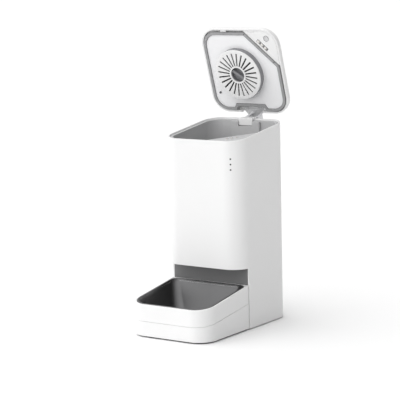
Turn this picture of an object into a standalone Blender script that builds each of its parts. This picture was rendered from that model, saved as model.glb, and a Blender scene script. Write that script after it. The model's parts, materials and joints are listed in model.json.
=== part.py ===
"""Automatic pet feeder: a square tower with a food hopper, a metering rotor, a hinged lid that
holds a desiccant box, and a pull-out stand with a steel bowl. +Z is up, the front faces -Y.
Every y below is measured back from the tower's front face, and main() then centres the feeder."""

import math

import bpy
from mathutils import Matrix, Vector

MM = 0.001
GAP = 0.3 * MM  # between pieces that touch
CORNER_STEPS = 12  # segments in a large rounded corner
ROUND_STEPS = 48  # segments in a large circle
SMALL_STEPS = 20  # segments in a small circle

# Tower
WIDTH = 170 * MM
DEPTH = 168 * MM
HEIGHT_FRONT = 349.5 * MM
TOP_TILT = math.radians(8.0)  # the top falls towards the front
CORNER_R = 34 * MM
WALL = 2.5 * MM
SHELL_LIFT = 2.0 * MM  # shadow gap under the shell
RECESS_TOP = 114.5 * MM
RECESS_DEPTH = 29.4 * MM
PANEL_T = 2.0 * MM

# Base
FOOT_H = 1.6 * MM
FOOT_R = 8 * MM
FOOT_INSET = 24 * MM
BASE_T = 3.0 * MM
BASE_INSET = 3.2 * MM
BASE_SCREW_R = 2.2 * MM
BASE_SCREW_INSET = 11 * MM

# Hopper
LEDGE_DROP = 2.5 * MM  # below the rim
LEDGE_T = 2.0 * MM
MOUTH_INSET = 9.0 * MM
HOPPER_WALL = 2.0 * MM
CHAMFER = 69.8 * MM  # the corner kept for the electronics
CHAMFER_TAPER = 0.15  # how much less is cut for each millimetre of inset, which widens the ledge
FUNNEL_TOP = 232 * MM
WELL_TOP = 186 * MM
WELL_R = 56 * MM
WELL_H = 26 * MM
WELL_WALL = 2.2 * MM
WELL_Y = 92 * MM
CHANNEL_W = 64 * MM
CHANNEL_T = 5.0 * MM
CHANNEL_BOTTOM = 240 * MM

# Rotor, motor and chute
ROTOR_GAP = 1.5 * MM
HUB_R = 13 * MM
VANES = 6
VANE_T = 3.0 * MM
SHAFT_R = 3.0 * MM
MOTOR_SIZE = (48 * MM, 40 * MM, 34 * MM)
OUTLET_W = 44 * MM
OUTLET_FRONT = 6 * MM
OUTLET_BACK = 26 * MM
CHUTE_WALL = 1.6 * MM
CHUTE_TOP_FRONT = 46 * MM
CHUTE_TOP_BACK = 70 * MM

# Lid, in its own frame: x across, y back towards the hinge edge at 0, z up from its underside
LID_H = 10 * MM
LID_WALL = 2.2 * MM
LID_SKIRT = 3.6 * MM
OPEN_ANGLE = math.radians(80.5)
AXIS_BEHIND = 11.8 * MM  # hinge axis behind the tower's back face
AXIS_BELOW = 3.6 * MM  # hinge axis below the rim
SEAL_SIDE = 5.0 * MM
SEAL_FRONT = 7.5 * MM
SEAL_W = 5.0 * MM
SEAL_PROUD = 2.2 * MM
SEAL_H = 4.6 * MM
SEAL_CUT = 64.2 * MM  # of its front right corner
LINER_GAP = 0.5 * MM
LINER_T = 2.4 * MM
NOTCH_HALF = 32 * MM
NOTCH_TOP_HALF = 27 * MM
NOTCH_DEPTH = 13.5 * MM
ARM_SLOT_HALF = 23 * MM
CATCH_X = 31 * MM
CATCH_SIZE = (13 * MM, 2.4 * MM, 2.6 * MM)

# Desiccant box
BOX_X = -8 * MM
BOX_FROM_HINGE = 82 * MM
BOX_R = 49.5 * MM
BOX_H = 13 * MM
BOX_WALL = 1.6 * MM
GRILLE_T = 2.0 * MM
SLOTS = 24
SLOT_IN_R = 17.5 * MM
SLOT_OUT_R = 43 * MM
SLOT_W = 3.0 * MM
WELL_GRIP_R = 14.4 * MM
GRIP_TURN = math.radians(35)

# Corner of the lid, and the button on it
CONTACT_X = WIDTH / 2 - 34 * MM
CONTACT_Y = 31.5 * MM
CONTACT_PITCH = 9.0 * MM
CONTACT_R = 1.6 * MM
SCREW_IN = (23.2 * MM, 18.6 * MM)  # from the lid's right and front edges
BUTTON_R = 8 * MM
BUTTON_TRAVEL = 1.5 * MM
BUTTON_IN = 21 * MM  # from both edges of the lid

# Hinge
HINGE_HALF = 15 * MM
KNUCKLE_R = 4.5 * MM
KNUCKLE_HALF = 8.7 * MM
PIN_R = 1.5 * MM
PIN_CLEARANCE = 0.08 * MM
BRACKET_T = 1.5 * MM
FLAP_DROP = 9 * MM  # the bracket's reach down the hopper's back wall
ARM_T = 3.2 * MM
ARM_HALF = 22 * MM

# Front lights and electronics
LIGHT_X = WIDTH / 2 - 19 * MM
LIGHT_TOP_Z = 317.5 * MM
LIGHT_PITCH = 9.8 * MM
LIGHT_R = 1.1 * MM
BOARD_T = 1.6 * MM
JACK_Z = 24 * MM
JACK_SIZE = (14 * MM, 12 * MM, 11 * MM)
JACK_BORE_R = 3.3 * MM

# Bowl stand
STAND_AHEAD = 115.4 * MM
STAND_R = 34 * MM
STAND_BACK_R = 3 * MM
STAND_WALL = 2.6 * MM
STAND_LIFT = 2.6 * MM
PAD_INSET = 4 * MM
STAND_GAP = 1.5 * MM  # to the tower
TOP_FRONT_Z = 60.6 * MM
TOP_BACK_Z = 83.5 * MM
SEAM_FRONT_Z = 30.0 * MM
SEAM_BACK_Z = 49.7 * MM
SEAM = 0.5 * MM

# Bowl
BOWL_INSET = 3.4 * MM  # from the stand's outer face
BOWL_T = 1.0 * MM
BOWL_LIP = 5.0 * MM
BOWL_SHELF_DROP = 2.4 * MM
BOWL_PROUD = 0.6 * MM
BOWL_FLOOR_Z = 17 * MM
BOWL_FLOOR_INSET = 38 * MM

# Derived places
SLOPE = math.tan(TOP_TILT)
LID_W = WIDTH
LID_L = DEPTH / math.cos(TOP_TILT)
LID_R = CORNER_R
RIM_BACK_Z = HEIGHT_FRONT + SLOPE * DEPTH
AXIS_Y = DEPTH + AXIS_BEHIND
AXIS_Z = RIM_BACK_Z - AXIS_BELOW
LID_BACK_Y = DEPTH
LID_BACK_Z = RIM_BACK_Z + GAP / math.cos(TOP_TILT)
STAND_BACK_Y = RECESS_DEPTH - STAND_GAP


def rim_z(y):
    return HEIGHT_FRONT + SLOPE * y


# Shapes


def corner(cx, cy, radius, start, end, steps):
    """Points of an arc, with its angles in degrees."""
    angles = (math.radians(start + (end - start) * i / steps) for i in range(steps + 1))
    return [(cx + radius * math.cos(a), cy + radius * math.sin(a)) for a in angles]


def box_outline(x0, x1, y0, y1, radii, steps=CORNER_STEPS):
    """A rounded rectangle, counter-clockwise. radii: back right, back left, front left, front right."""
    br, bl, fl, fr = radii
    return (
        corner(x1 - br, y1 - br, br, 0, 90, steps)
        + corner(x0 + bl, y1 - bl, bl, 90, 180, steps)
        + corner(x0 + fl, y0 + fl, fl, 180, 270, steps)
        + corner(x1 - fr, y0 + fr, fr, 270, 360, steps)
    )


def cut_corner_outline(x0, x1, y0, y1, radius, cut, soft, steps=CORNER_STEPS):
    """The same, with its front right corner cut off on a diagonal whose ends have radius soft."""
    reach = soft * math.tan(math.radians(22.5))
    half = steps // 2
    return (
        corner(x1 - radius, y1 - radius, radius, 0, 90, steps)
        + corner(x0 + radius, y1 - radius, radius, 90, 180, steps)
        + corner(x0 + radius, y0 + radius, radius, 180, 270, steps)
        + corner(x1 - cut - reach, y0 + soft, soft, 270, 315, half)
        + corner(x1 - soft, y0 + cut + reach, soft, 315, 360, half)
    )


def circle(cx, cy, radius, steps=ROUND_STEPS):
    return corner(cx, cy, radius, 0, 360 - 360 / steps, steps - 1)


def at(outline, height):
    """A ring of points: the outline at one height, or at a height that depends on y."""
    return [Vector((x, y, height(y) if callable(height) else height)) for x, y in outline]


def solid(name, rings, ring_shaped=False):
    """A closed body through rings of equal length. ring_shaped joins the last ring to the first."""
    count = len(rings[0])
    points = [p for ring in rings for p in ring]
    faces = []
    last = len(rings) if ring_shaped else len(rings) - 1
    for level in range(last):
        a, b = level * count, (level + 1) % len(rings) * count
        for i in range(count):
            j = (i + 1) % count
            faces.append((a + i, a + j, b + j, b + i))
    if not ring_shaped:
        faces.append(tuple(range(count - 1, -1, -1)))
        faces.append(tuple(range((len(rings) - 1) * count, len(rings) * count)))
    mesh = bpy.data.meshes.new(name)
    mesh.from_pydata(points, [], faces)
    mesh.validate()
    piece = bpy.data.objects.new(name, mesh)
    bpy.context.scene.collection.objects.link(piece)
    mesh.shade_smooth()
    mesh.set_sharp_from_angle(angle=math.radians(35))
    return piece


def prism(name, outline, low, high):
    return solid(name, [at(outline, low), at(outline, high)])


def block(name, x0, x1, y0, y1, z0, z1):
    return prism(name, [(x1, y0), (x1, y1), (x0, y1), (x0, y0)], z0, z1)


def turned(name, cx, cy, profile, steps=ROUND_STEPS):
    """A turned body about a vertical axis: profile lists (radius, z) from the bottom upwards."""
    return solid(name, [at(circle(cx, cy, r, steps), z) for r, z in profile])


def bar_x(name, half, cy, cz, radius, steps=SMALL_STEPS):
    """A round bar along x."""
    ring = circle(cy, cz, radius, steps)
    return solid(name, [[Vector((x, a, b)) for a, b in ring] for x in (-half, half)])


def bar_y(name, cx, cz, radius, y0, y1, steps=SMALL_STEPS):
    """A round bar along y."""
    ring = circle(cx, cz, radius, steps)
    return solid(name, [[Vector((a, y, b)) for a, b in ring] for y in (y1, y0)])


def profile_x(name, outline, x0, x1):
    """A profile drawn in y and z, extruded along x."""
    return solid(name, [[Vector((x, y, z)) for y, z in outline] for x in (x0, x1)])


def combine(piece, operation, *tools):
    """Cuts the tools from the piece, or joins them to it. The tools stay as hidden helpers."""
    for tool in tools:
        tool.hide_render = True
        tool.display_type = "WIRE"
        modifier = piece.modifiers.new(tool.name, "BOOLEAN")
        modifier.operation = operation
        modifier.object = tool
    return piece


def cut(piece, *tools):
    return combine(piece, "DIFFERENCE", *tools)


def join(piece, *tools):
    return combine(piece, "UNION", *tools)


def finish(name, colour, roughness, metallic=0.0):
    made = bpy.data.materials.new(name)
    made.use_nodes = True
    shader = made.node_tree.nodes["Principled BSDF"]
    shader.inputs["Base Color"].default_value = (*colour, 1.0)
    shader.inputs["Roughness"].default_value = roughness
    shader.inputs["Metallic"].default_value = metallic
    return made


# Tower


def tower_outline(inset):
    radius = CORNER_R - inset
    return box_outline(
        -WIDTH / 2 + inset, WIDTH / 2 - inset, inset, DEPTH - inset, (radius,) * 4
    )


def outer_shell():
    rings = [
        at(tower_outline(WALL), SHELL_LIFT),
        at(tower_outline(0), SHELL_LIFT),
        at(tower_outline(0), rim_z),
        at(tower_outline(WALL), rim_z),
    ]
    shell = solid("outer_shell", rings, ring_shaped=True)
    side = WIDTH
    recess = block("recess_cutter", -side, side, -side, RECESS_DEPTH, -side, RECESS_TOP)
    lights = [
        bar_y(f"light_hole_{i}", LIGHT_X, z, LIGHT_R + GAP / 2, -WALL, 4 * WALL)
        for i, z in enumerate(light_heights())
    ]
    jack = bar_y("jack_hole", 0, JACK_Z, JACK_BORE_R + 1 * MM, DEPTH - 3 * WALL, DEPTH + WALL)
    return cut(shell, recess, jack, *lights)


def light_heights():
    return [LIGHT_TOP_Z - LIGHT_PITCH * i for i in range(3)]


def side_face(y, inset=0.0):
    """x of the tower's right face at y, round its front corner, or of a face inset from it."""
    ahead = max(CORNER_R - y, 0)
    return WIDTH / 2 - CORNER_R + math.sqrt((CORNER_R - inset) ** 2 - ahead**2)


def recess_panel():
    """The dark wall behind the bowl and the ceiling over it, in one bent panel."""
    half = side_face(RECESS_DEPTH, WALL + GAP)
    wall = block(
        "recess_panel", -half, half, RECESS_DEPTH, RECESS_DEPTH + PANEL_T,
        BASE_T + FOOT_H + GAP, RECESS_TOP + PANEL_T,
    )
    ceiling = prism(
        "recess_ceiling", tower_outline(WALL + GAP), RECESS_TOP, RECESS_TOP + PANEL_T
    )
    behind = block(
        "recess_ceiling_end", -WIDTH, WIDTH, RECESS_DEPTH + PANEL_T / 2, 2 * DEPTH, 0, HEIGHT_FRONT
    )
    cut(ceiling, behind)
    outlet = block(
        "outlet_hole", -OUTLET_W / 2, OUTLET_W / 2, OUTLET_FRONT, OUTLET_BACK,
        RECESS_TOP - WALL, RECESS_TOP + 3 * WALL,
    )
    join(wall, ceiling)
    return cut(wall, outlet)


def base_plate():
    outline = box_outline(
        -WIDTH / 2 + BASE_INSET, WIDTH / 2 - BASE_INSET, RECESS_DEPTH + BASE_INSET,
        DEPTH - BASE_INSET, (CORNER_R - BASE_INSET,) * 2 + (2 * MM,) * 2,
    )
    plate = prism("base_plate", outline, FOOT_H, FOOT_H + BASE_T)
    holes = [
        turned(
            f"base_hole_{i}", x, y, [(BASE_SCREW_R + GAP, 0), (BASE_SCREW_R + GAP, 4 * BASE_T)], SMALL_STEPS
        )
        for i, (x, y) in enumerate(base_corners(FOOT_INSET + BASE_SCREW_INSET))
    ]
    return cut(plate, *holes)


def base_corners(inset):
    x = WIDTH / 2 - inset
    return [
        (side * x, y)
        for y in (RECESS_DEPTH + inset - FOOT_INSET / 2, DEPTH - inset)
        for side in (-1, 1)
    ]


def feet():
    return [
        turned(f"rubber_foot_{i + 1}", x, y, [(FOOT_R, 0), (FOOT_R, FOOT_H - GAP)], SMALL_STEPS)
        for i, (x, y) in enumerate(base_corners(FOOT_INSET))
    ]


def base_screws():
    head_low, head_high = FOOT_H - 1 * MM, FOOT_H + BASE_T + 6 * MM
    return [
        turned(
            f"base_screw_{i + 1}", x, y, [(BASE_SCREW_R, head_low), (BASE_SCREW_R, head_high)], SMALL_STEPS
        )
        for i, (x, y) in enumerate(base_corners(FOOT_INSET + BASE_SCREW_INSET))
    ]


# Hopper and metering


def mouth_outline(inset):
    """The hopper's outline, with its front right corner cut off."""
    return cut_corner_outline(
        -WIDTH / 2 + inset, WIDTH / 2 - inset, inset, DEPTH - inset,
        CORNER_R - inset, CHAMFER - inset * CHAMFER_TAPER, 8 * MM,
    )


def hopper():
    outline_count = len(mouth_outline(MOUTH_INSET))
    outer = MOUTH_INSET - HOPPER_WALL
    hole = matched_circle(WELL_R - WELL_WALL, outline_count)
    hole_out = matched_circle(WELL_R, outline_count)

    def ledge(y):
        return rim_z(y) - LEDGE_DROP

    def under(y):
        return ledge(y) - LEDGE_T

    rings = [
        at(mouth_outline(MOUTH_INSET), ledge),
        at(mouth_outline(MOUTH_INSET), FUNNEL_TOP),
        at(hole, WELL_TOP + HOPPER_WALL),
        at(hole, WELL_TOP),
        at(hole_out, WELL_TOP),
        at(hole_out, WELL_TOP + HOPPER_WALL),
        at(mouth_outline(outer), FUNNEL_TOP),
        at(mouth_outline(outer), under),
        at(tower_like_ledge(), under),
        at(tower_like_ledge(), ledge),
    ]
    return solid("hopper", rings, ring_shaped=True)


def tower_like_ledge():
    """The ledge's outer edge: it runs inside the shell, and round the cut corner beside its deck."""
    inset = WALL + GAP
    return cut_corner_outline(
        -WIDTH / 2 + inset, WIDTH / 2 - inset, inset, DEPTH - inset,
        CORNER_R - inset, CHAMFER - inset * CHAMFER_TAPER, 8 * MM,
    )


def matched_circle(radius, count):
    """A circle whose points match the hopper outline's, corner for corner."""
    return corner(0, WELL_Y, radius, 8, 368 - 360 / count, count - 1)


def corner_deck():
    """The three-cornered deck over the electronics, level with the hopper's ledge."""
    inset = WALL + GAP
    reach = CHAMFER - inset * CHAMFER_TAPER
    x1 = WIDTH / 2 - inset
    radius = CORNER_R - inset
    apart = 2 * MM
    outline = corner(x1 - radius, inset + radius, radius, 270, 360, CORNER_STEPS) + [
        (x1, inset + reach - apart),
        (x1 - reach + apart, inset),
    ]
    deck = prism(
        "corner_deck", outline, lambda y: rim_z(y) - LEDGE_DROP - LEDGE_T, lambda y: rim_z(y) - LEDGE_DROP
    )
    pins = [
        turned(
            f"deck_hole_{i}",
            x,
            y,
            [(CONTACT_R + GAP, FUNNEL_TOP), (CONTACT_R + GAP, 2 * HEIGHT_FRONT)],
            SMALL_STEPS,
        )
        for i, (x, y) in enumerate(contact_places())
    ]
    return cut(deck, *pins)


def contact_places():
    """Centres of the three contacts in the tower, under those of the closed lid."""
    middle = (CONTACT_X, CONTACT_Y)
    step = CONTACT_PITCH / math.sqrt(2)
    return [(middle[0] + i * step, middle[1] + i * step) for i in (-1, 0, 1)]


def deck_contacts():
    return [
        turned(
            f"deck_contact_{i + 1}", x, y,
            [(CONTACT_R, rim_z(y) - LEDGE_DROP - 8 * MM), (CONTACT_R, rim_z(y) - 2 * GAP)],
            SMALL_STEPS,
        )
        for i, (x, y) in enumerate(contact_places())
    ]


def channel_cover():
    """The raised cover of the wiring channel, on the hopper's back wall."""
    y1 = DEPTH - MOUTH_INSET - GAP
    y0 = y1 - CHANNEL_T
    top = lambda y: rim_z(y) - LEDGE_DROP - 1 * MM
    outline = box_outline(-CHANNEL_W / 2, CHANNEL_W / 2, y0, y1, (0.4 * MM,) * 2 + (2 * MM,) * 2, 4)
    cover = prism("channel_cover", outline, CHANNEL_BOTTOM, top)
    low = rim_z(y0) - LEDGE_DROP - FLAP_DROP - 1 * MM
    flap = block(
        "flap_notch", -HINGE_HALF - GAP, HINGE_HALF + GAP, y0 - WALL, y1 + WALL, low, 2 * HEIGHT_FRONT
    )
    return cut(cover, flap)


def metering_well():
    top = WELL_TOP - GAP
    floor = WELL_TOP - WELL_H
    inner = WELL_R - WELL_WALL
    profile = [(WELL_R, floor), (WELL_R, top), (inner, top), (inner, floor + WELL_WALL)]
    well = turned("metering_well", 0, WELL_Y, profile)
    bore = turned(
        "well_bore", 0, WELL_Y, [(SHAFT_R + 1 * MM, 0), (SHAFT_R + 1 * MM, HEIGHT_FRONT)], SMALL_STEPS
    )
    exit_hole = block(
        "well_exit", -OUTLET_W / 2 + CHUTE_WALL, OUTLET_W / 2 - CHUTE_WALL,
        CHUTE_TOP_FRONT + CHUTE_WALL, CHUTE_TOP_BACK - CHUTE_WALL, floor - WALL, floor + 2 * WALL,
    )
    return cut(well, bore, exit_hole)


def rotor():
    low = WELL_TOP - WELL_H + WELL_WALL + ROTOR_GAP
    high = WELL_TOP - 3 * MM
    reach = WELL_R - WELL_WALL - ROTOR_GAP
    hub = turned("rotor", 0, WELL_Y, [(HUB_R, low), (HUB_R, high), (HUB_R * 0.6, high + 6 * MM)], 24)
    vanes = []
    for i in range(VANES):
        vane = block(f"vane_{i}", HUB_R / 2, reach, -VANE_T / 2, VANE_T / 2, low, high)
        vane.data.transform(
            Matrix.Translation((0, WELL_Y, 0)) @ Matrix.Rotation(math.tau * i / VANES, 4, "Z")
        )
        vanes.append(vane)
    join(hub, *vanes)
    bore = turned(
        "rotor_bore", 0, WELL_Y, [(SHAFT_R + GAP, low - WALL), (SHAFT_R + GAP, high - 2 * MM)], SMALL_STEPS
    )
    return cut(hub, bore)


def rotor_shaft():
    low = WELL_TOP - WELL_H - 6 * MM
    return turned("rotor_shaft", 0, WELL_Y, [(SHAFT_R, low), (SHAFT_R, WELL_TOP - 5.5 * MM)], SMALL_STEPS)


def stirrer():
    """The bent finger on the rotor's cap, which keeps the food moving."""
    low = WELL_TOP + 3.6 * MM
    cap = turned("stirrer", 0, WELL_Y, [(HUB_R * 0.55, low), (HUB_R * 0.45, low + 5 * MM)], 24)
    arm = block("stirrer_arm", 0, 34 * MM, WELL_Y - 2 * MM, WELL_Y + 2 * MM, low + 1 * MM, low + 4 * MM)
    tip = block(
        "stirrer_tip", 30 * MM, 34 * MM, WELL_Y - 2 * MM, WELL_Y + 2 * MM, low + 2 * MM, low + 22 * MM
    )
    return join(cap, arm, tip)


def gear_motor():
    wide, deep, high = MOTOR_SIZE
    top = WELL_TOP - WELL_H - GAP
    motor = block(
        "gear_motor", -wide / 2, wide / 2, WELL_Y - 14 * MM, WELL_Y - 14 * MM + deep, top - high, top
    )
    can = turned(
        "motor_can", 0, WELL_Y + 6 * MM, [(14 * MM, top - high - 26 * MM), (14 * MM, top - high / 2)], 32
    )
    join(motor, can)
    seat = turned(
        "motor_seat", 0, WELL_Y, [(SHAFT_R + GAP, top - 8 * MM), (SHAFT_R + GAP, top + WALL)], SMALL_STEPS
    )
    return cut(motor, seat)


def outlet_chute():
    """The slanting duct from the well's exit to the outlet over the bowl."""
    top, low = WELL_TOP - WELL_H - GAP, RECESS_TOP + PANEL_T + GAP
    half = OUTLET_W / 2
    w = CHUTE_WALL

    def ring(half_x, y0, y1, z):
        return [
            Vector((half_x, y0, z)),
            Vector((half_x, y1, z)),
            Vector((-half_x, y1, z)),
            Vector((-half_x, y0, z)),
        ]

    rings = [
        ring(half, OUTLET_FRONT, OUTLET_BACK, low),
        ring(half, CHUTE_TOP_FRONT, CHUTE_TOP_BACK, top),
        ring(half - w, CHUTE_TOP_FRONT + w, CHUTE_TOP_BACK - w, top),
        ring(half - w, OUTLET_FRONT + w, OUTLET_BACK - w, low),
    ]
    return solid("outlet_chute", rings, ring_shaped=True)


# Electronics


def electronics():
    floor = FOOT_H + BASE_T + 6.5 * MM
    block("main_board", -45 * MM, 45 * MM, 45 * MM, 118 * MM, floor, floor + BOARD_T)
    wide, deep, high = JACK_SIZE
    back = DEPTH - WALL - GAP
    jack = block("power_jack", -wide / 2, wide / 2, back - deep, back, JACK_Z - high / 2, JACK_Z + high / 2)
    cut(jack, bar_y("jack_bore", 0, JACK_Z, JACK_BORE_R, back - deep * 0.75, back + WALL))
    edge = LIGHT_X + 3 * MM
    front = front_face(edge, WALL) + 2 * GAP
    spare = 8 * MM
    block(
        "indicator_board", LIGHT_X - 8 * MM, edge, front, front + BOARD_T,
        LIGHT_TOP_Z - 2 * LIGHT_PITCH - spare, LIGHT_TOP_Z + spare,
    )
    for i, z in enumerate(light_heights()):
        bar_y(
            f"indicator_light_{i + 1}", LIGHT_X, z, LIGHT_R, front_face(LIGHT_X) - 0.1 * MM, front - GAP, 16
        )


def front_face(x, inset=0.0):
    """y of the tower's front face at x, round its corner, or of a face inset from it."""
    beyond = max(abs(x) - (WIDTH / 2 - CORNER_R), 0)
    return CORNER_R - math.sqrt((CORNER_R - inset) ** 2 - beyond**2)


# Hinge, drawn closed


def hinge_base():
    """The white bracket over the rim, with the middle knuckle behind it."""
    wall_y = DEPTH - MOUTH_INSET - GAP
    ledge = rim_z(wall_y) - LEDGE_DROP
    inner, outer = DEPTH - WALL - GAP, DEPTH + GAP
    outline = [
        (wall_y, ledge - FLAP_DROP),
        (wall_y, ledge + GAP),
        (inner, rim_z(inner) - LEDGE_DROP + GAP),
        (inner, RIM_BACK_Z + GAP - SLOPE * WALL),
        (outer, RIM_BACK_Z + GAP),
        (outer, RIM_BACK_Z - 26 * MM),
        (outer + 2.2 * MM, RIM_BACK_Z - 26 * MM),
        (outer + 2.2 * MM, RIM_BACK_Z + BRACKET_T - 0.8 * MM),
        (outer + 1.4 * MM, RIM_BACK_Z + BRACKET_T),
        (wall_y - 1 * MM, rim_z(wall_y) + BRACKET_T),
        (wall_y - 2 * MM, rim_z(wall_y) + BRACKET_T - 1 * MM),
        (wall_y - 2 * MM, ledge - FLAP_DROP + 0.8 * MM),
        (wall_y - 1.2 * MM, ledge - FLAP_DROP),
    ]
    bracket = profile_x("hinge_base", outline, -HINGE_HALF, HINGE_HALF)
    barrel = bar_x("base_knuckle", KNUCKLE_HALF, AXIS_Y, AXIS_Z, KNUCKLE_R)
    web = block(
        "base_web", -KNUCKLE_HALF, KNUCKLE_HALF, DEPTH + 1 * MM, AXIS_Y, AXIS_Z - KNUCKLE_R, AXIS_Z + 1 * MM
    )
    join(bracket, web, barrel)
    return cut(bracket, bar_x("base_pin_bore", WIDTH, AXIS_Y, AXIS_Z, PIN_R + PIN_CLEARANCE))


def hinge_pin():
    return bar_x("hinge_pin", HINGE_HALF, AXIS_Y, AXIS_Z, PIN_R)


# Lid, in its own frame


def lid_frame():
    """From the lid's frame to the closed lid's place on the tower."""
    return Matrix.Translation((0, LID_BACK_Y, LID_BACK_Z)) @ Matrix.Rotation(TOP_TILT, 4, "X")


def lid_point(y, z):
    """A point of the closed lid in the lid's frame, from a point of the tower."""
    return lid_frame().inverted() @ Vector((0, y, z))


def lid_outline(inset):
    radius = LID_R - inset
    return box_outline(-LID_W / 2 + inset, LID_W / 2 - inset, -LID_L + inset, -inset, (radius,) * 4)


def lid_cover():
    outer = [
        at(lid_outline(0.6 * MM), 0),
        at(lid_outline(0), 0.6 * MM),
        at(lid_outline(0), LID_H - 2 * MM),
        at(lid_outline(0.6 * MM), LID_H - 0.6 * MM),
        at(lid_outline(2 * MM), LID_H),
    ]
    cover = solid("lid_cover", outer)
    hollow = prism("lid_hollow", lid_outline(LID_SKIRT), -LID_H, LID_H - LID_WALL)
    slot = block(
        "arm_slot", -ARM_SLOT_HALF, ARM_SLOT_HALF, -NOTCH_DEPTH, LID_WALL * 2, -LID_H, 2 * LID_H
    )
    x, y = button_place()
    button = turned("button_hole", x, y, [(BUTTON_R + GAP, LID_H / 2), (BUTTON_R + GAP, 2 * LID_H)], 32)
    return cut(cover, hollow, slot, button)


def button_place():
    return LID_W / 2 - BUTTON_IN, -LID_L + BUTTON_IN


def liner_outline(grow):
    """The liner's outline, grown by the seal's share: cut at the front right corner."""
    side = SEAL_SIDE + SEAL_W + LINER_GAP - grow
    front = SEAL_FRONT + SEAL_W + LINER_GAP - grow
    radius = LID_R - side
    cut = SEAL_CUT - (LINER_GAP + SEAL_W - grow) * (2 - math.sqrt(2))
    return cut_corner_outline(
        -LID_W / 2 + side, LID_W / 2 - side, -LID_L + front, -side, radius, cut, 6 * MM
    )


def notch_tool(name, grow):
    """The hinge's notch in the rear edge of the liner and the seal."""
    outline = [
        (NOTCH_HALF + grow, 2 * LID_WALL),
        (-NOTCH_HALF - grow, 2 * LID_WALL),
        (-NOTCH_HALF - grow, -SEAL_SIDE - SEAL_W),
        (-NOTCH_TOP_HALF - grow, -NOTCH_DEPTH - grow),
        (NOTCH_TOP_HALF + grow, -NOTCH_DEPTH - grow),
        (NOTCH_HALF + grow, -SEAL_SIDE - SEAL_W),
    ]
    return prism(name, outline, -LID_H, 2 * LID_H)


def lid_liner():
    liner = prism("lid_liner", liner_outline(0), 0, LINER_T)
    seat = turned(
        "box_seat", BOX_X, -BOX_FROM_HINGE,
        [(BOX_R - 4 * MM, -WALL), (BOX_R - 4 * MM, 3 * LINER_T)],
    )
    mark = turned(
        "lock_mark_hole", BOX_X - 55.5 * MM, -BOX_FROM_HINGE + 42 * MM,
        [(1.5 * MM, -WALL), (1.5 * MM, 3 * LINER_T)], 16,
    )
    return cut(liner, seat, mark, notch_tool("liner_notch", SEAL_W + LINER_GAP))


def lid_seal():
    """The grey seal round the liner. It steps round the hinge's notch."""
    rings = [
        at(liner_outline(LINER_GAP), -SEAL_PROUD),
        at(liner_outline(LINER_GAP + SEAL_W), -SEAL_PROUD),
        at(liner_outline(LINER_GAP + SEAL_W), SEAL_H - SEAL_PROUD),
        at(liner_outline(LINER_GAP), SEAL_H - SEAL_PROUD),
    ]
    ring = solid("lid_seal", rings, ring_shaped=True)
    low, high = -SEAL_PROUD, SEAL_H - SEAL_PROUD
    inset = SEAL_SIDE + 0.05 * MM
    step = prism(
        "seal_step",
        [
            (NOTCH_HALF + SEAL_W, -inset),
            (-NOTCH_HALF - SEAL_W, -inset),
            (-NOTCH_HALF - SEAL_W, -SEAL_SIDE - SEAL_W),
            (-NOTCH_TOP_HALF - SEAL_W, -NOTCH_DEPTH - SEAL_W),
            (NOTCH_TOP_HALF + SEAL_W, -NOTCH_DEPTH - SEAL_W),
            (NOTCH_HALF + SEAL_W, -SEAL_SIDE - SEAL_W),
        ],
        low,
        high,
    )
    join(ring, step)
    return cut(ring, notch_tool("seal_notch", 0))


def corner_panel():
    """The three-cornered panel outside the seal, in the lid's front right corner."""
    inset = LID_SKIRT + GAP
    radius = LID_R - inset
    x1, y0 = LID_W / 2 - inset, -LID_L + inset
    outer = liner_outline(LINER_GAP + SEAL_W)
    sum_line = max(x - y for x, y in outer) + 1.2 * MM
    outline = corner(x1 - radius, y0 + radius, radius, 270, 360, CORNER_STEPS) + [
        (x1, x1 - sum_line),
        (sum_line + y0, y0),
    ]
    panel = prism("corner_panel", outline, 0, 1.8 * MM)
    places = lid_contact_places()
    holes = [
        turned(
            f"contact_hole_{i}", x, y, [(CONTACT_R + GAP, -WALL), (CONTACT_R + GAP, 3 * WALL)], SMALL_STEPS
        )
        for i, (x, y) in enumerate(places)
    ]
    x, y = corner_screw_place()
    screw = turned("corner_screw_hole", x, y, [(3.2 * MM, -WALL), (3.2 * MM, 3 * WALL)], SMALL_STEPS)
    wide, deep, _ = CATCH_SIZE
    catch = block(
        "catch_notch", CATCH_X - wide / 2 - GAP, CATCH_X + wide / 2 + GAP,
        -LID_L, y0 + deep + GAP, -WALL, 3 * WALL
    )
    return cut(panel, *holes, screw, catch)


def lid_contact_places():
    """Over the contacts in the tower when the lid is closed."""
    rise = 1 / math.cos(TOP_TILT)
    return [(x, -(LID_BACK_Y - y) * rise) for x, y in contact_places()]


def corner_screw_place():
    return LID_W / 2 - SCREW_IN[0], -LID_L + SCREW_IN[1]


def corner_pieces():
    for i, (x, y) in enumerate(lid_contact_places()):
        turned(f"lid_contact_{i + 1}", x, y, [(CONTACT_R, -0.6 * MM), (CONTACT_R, 3 * MM)], SMALL_STEPS)
    x, y = corner_screw_place()
    turned("corner_screw", x, y, [(2.8 * MM, 0.4 * MM), (2.8 * MM, 3 * MM)], SMALL_STEPS)


def feed_button():
    x, y = button_place()
    top = LID_H + 0.4 * MM
    return turned(
        "feed_button", x, y,
        [(BUTTON_R - 1 * MM, LID_H - LID_WALL - 1.2 * MM), (BUTTON_R, LID_H - LID_WALL + 0.2 * MM),
         (BUTTON_R, top - 0.5 * MM), (BUTTON_R - 0.5 * MM, top)],
        32,
    )


def button_switch():
    x, y = button_place()
    half = 3 * MM
    top = LID_H - LID_WALL - 1.2 * MM - BUTTON_TRAVEL - GAP
    return block("button_switch", x - half, x + half, y - half, y + half, 3.4 * MM, top)


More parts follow.
